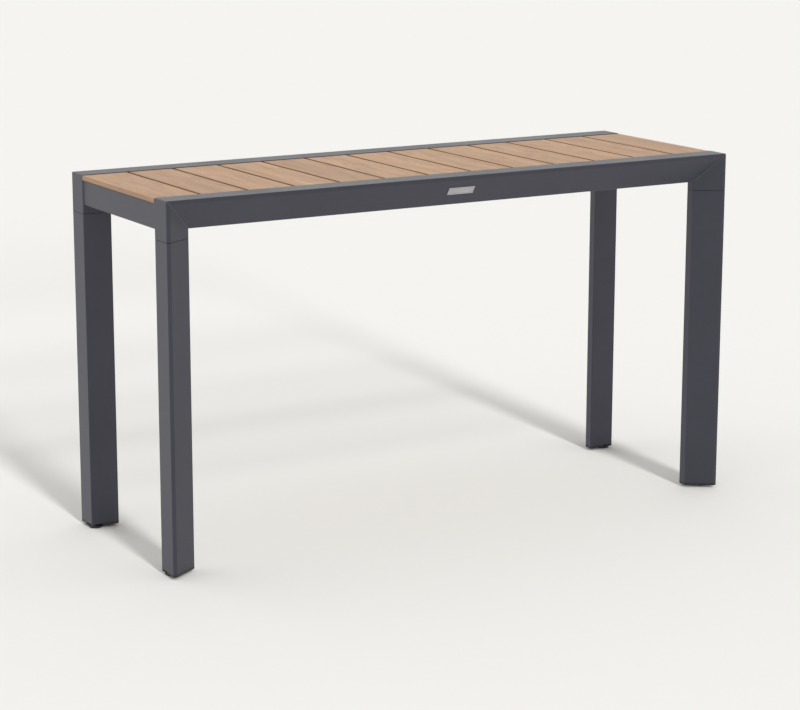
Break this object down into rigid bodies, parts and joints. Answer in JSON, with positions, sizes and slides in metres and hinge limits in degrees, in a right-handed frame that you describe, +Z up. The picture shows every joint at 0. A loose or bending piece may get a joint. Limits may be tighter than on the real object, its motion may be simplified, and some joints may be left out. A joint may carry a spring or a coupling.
{
  "type": "outdoor console table",
  "caption": "Long narrow outdoor table with an aluminium frame of mitred, slope-faced profiles, a slatted wooden top, detachable legs and levelling feet.",
  "frame": {"origin": "on the floor, under the middle of the table", "axes": "+X right along the length, +Y back, +Z up; the front faces -Y"},
  "size_m": [1.334, 0.454, 0.75],
  "materials": {
    "frame_metal": "fine matt powder coat, anthracite",
    "bare_aluminium": "mill finish",
    "slat_wood": "sanded, light brown, lengthwise grain",
    "cap_plastic": "moulded, dark grey",
    "wheel_plastic": "moulded, near black",
    "stud_steel": "zinc plated",
    "fastener_steel": "stainless",
    "plate_metal": "satin, bare"
  },
  "bodies": {
    "frame": {"front_rail": "frame_metal", "back_rail": "frame_metal", "left_end_rail": "frame_metal", "right_end_rail": "frame_metal", "corner_post_front_left": "frame_metal", "leg_front_left": "frame_metal", "leg_connector_front_left": "bare_aluminium", "foot_cap_front_left": "cap_plastic", "corner_post_front_right": "frame_metal", "leg_front_right": "frame_metal", "leg_connector_front_right": "bare_aluminium", "foot_cap_front_right": "cap_plastic", "corner_post_back_left": "frame_metal", "leg_back_left": "frame_metal", "leg_connector_back_left": "bare_aluminium", "foot_cap_back_left": "cap_plastic", "corner_post_back_right": "frame_metal", "leg_back_right": "frame_metal", "leg_connector_back_right": "bare_aluminium", "foot_cap_back_right": "cap_plastic", "leg_bolts": "fastener_steel", "leg_bolt_nuts": "fastener_steel", "foot_nuts": "fastener_steel", "slat_screws": "fastener_steel", "ledge_screws": "fastener_steel", "slat_01": "slat_wood", "slat_02": "slat_wood", "slat_03": "slat_wood", "slat_04": "slat_wood", "slat_05": "slat_wood", "slat_06": "slat_wood", "slat_07": "slat_wood", "slat_08": "slat_wood", "slat_09": "slat_wood", "slat_10": "slat_wood", "slat_11": "slat_wood", "slat_12": "slat_wood", "slat_13": "slat_wood", "front_ledge": "frame_metal", "back_ledge": "frame_metal", "centre_batten": "frame_metal", "left_cross_bar": "frame_metal", "right_cross_bar": "frame_metal", "rail_plate": "plate_metal"},
    "glide_front_left": {"glide_pad_front_left": "wheel_plastic"},
    "wheel_front_left": {"turning_wheel_front_left": "wheel_plastic", "levelling_stud_front_left": "stud_steel"},
    "glide_front_right": {"glide_pad_front_right": "wheel_plastic"},
    "wheel_front_right": {"turning_wheel_front_right": "wheel_plastic", "levelling_stud_front_right": "stud_steel"},
    "glide_back_left": {"glide_pad_back_left": "wheel_plastic"},
    "wheel_back_left": {"turning_wheel_back_left": "wheel_plastic", "levelling_stud_back_left": "stud_steel"},
    "glide_back_right": {"glide_pad_back_right": "wheel_plastic"},
    "wheel_back_right": {"turning_wheel_back_right": "wheel_plastic", "levelling_stud_back_right": "stud_steel"}
  },
  "joints": [
    {"name": "foot_height_front_left", "type": "slide", "parent": "frame", "child": "glide_front_left", "axis": [0, 0, -1], "range_m": [0, 0.01]},
    {"name": "foot_turn_front_left", "type": "hinge", "parent": "glide_front_left", "child": "wheel_front_left", "pos_m": [-0.651, -0.1885, 0.003], "axis": [0, 0, -1], "range_deg": [0, 2880]},
    {"name": "foot_height_front_right", "type": "slide", "parent": "frame", "child": "glide_front_right", "axis": [0, 0, -1], "range_m": [0, 0.01]},
    {"name": "foot_turn_front_right", "type": "hinge", "parent": "glide_front_right", "child": "wheel_front_right", "pos_m": [0.651, -0.1885, 0.003], "axis": [0, 0, -1], "range_deg": [0, 2880]},
    {"name": "foot_height_back_left", "type": "slide", "parent": "frame", "child": "glide_back_left", "axis": [0, 0, -1], "range_m": [0, 0.01]},
    {"name": "foot_turn_back_left", "type": "hinge", "parent": "glide_back_left", "child": "wheel_back_left", "pos_m": [-0.651, 0.1885, 0.003], "axis": [0, 0, -1], "range_deg": [0, 2880]},
    {"name": "foot_height_back_right", "type": "slide", "parent": "frame", "child": "glide_back_right", "axis": [0, 0, -1], "range_m": [0, 0.01]},
    {"name": "foot_turn_back_right", "type": "hinge", "parent": "glide_back_right", "child": "wheel_back_right", "pos_m": [0.651, 0.1885, 0.003], "axis": [0, 0, -1], "range_deg": [0, 2880]}
  ],
  "couplings": [
    {"joint": "foot_height_front_left", "follows": "foot_turn_front_left", "m_per_rad": 0.00019894},
    {"joint": "foot_height_front_right", "follows": "foot_turn_front_right", "m_per_rad": 0.00019894},
    {"joint": "foot_height_back_left", "follows": "foot_turn_back_left", "m_per_rad": 0.00019894},
    {"joint": "foot_height_back_right", "follows": "foot_turn_back_right", "m_per_rad": 0.00019894}
  ]
}
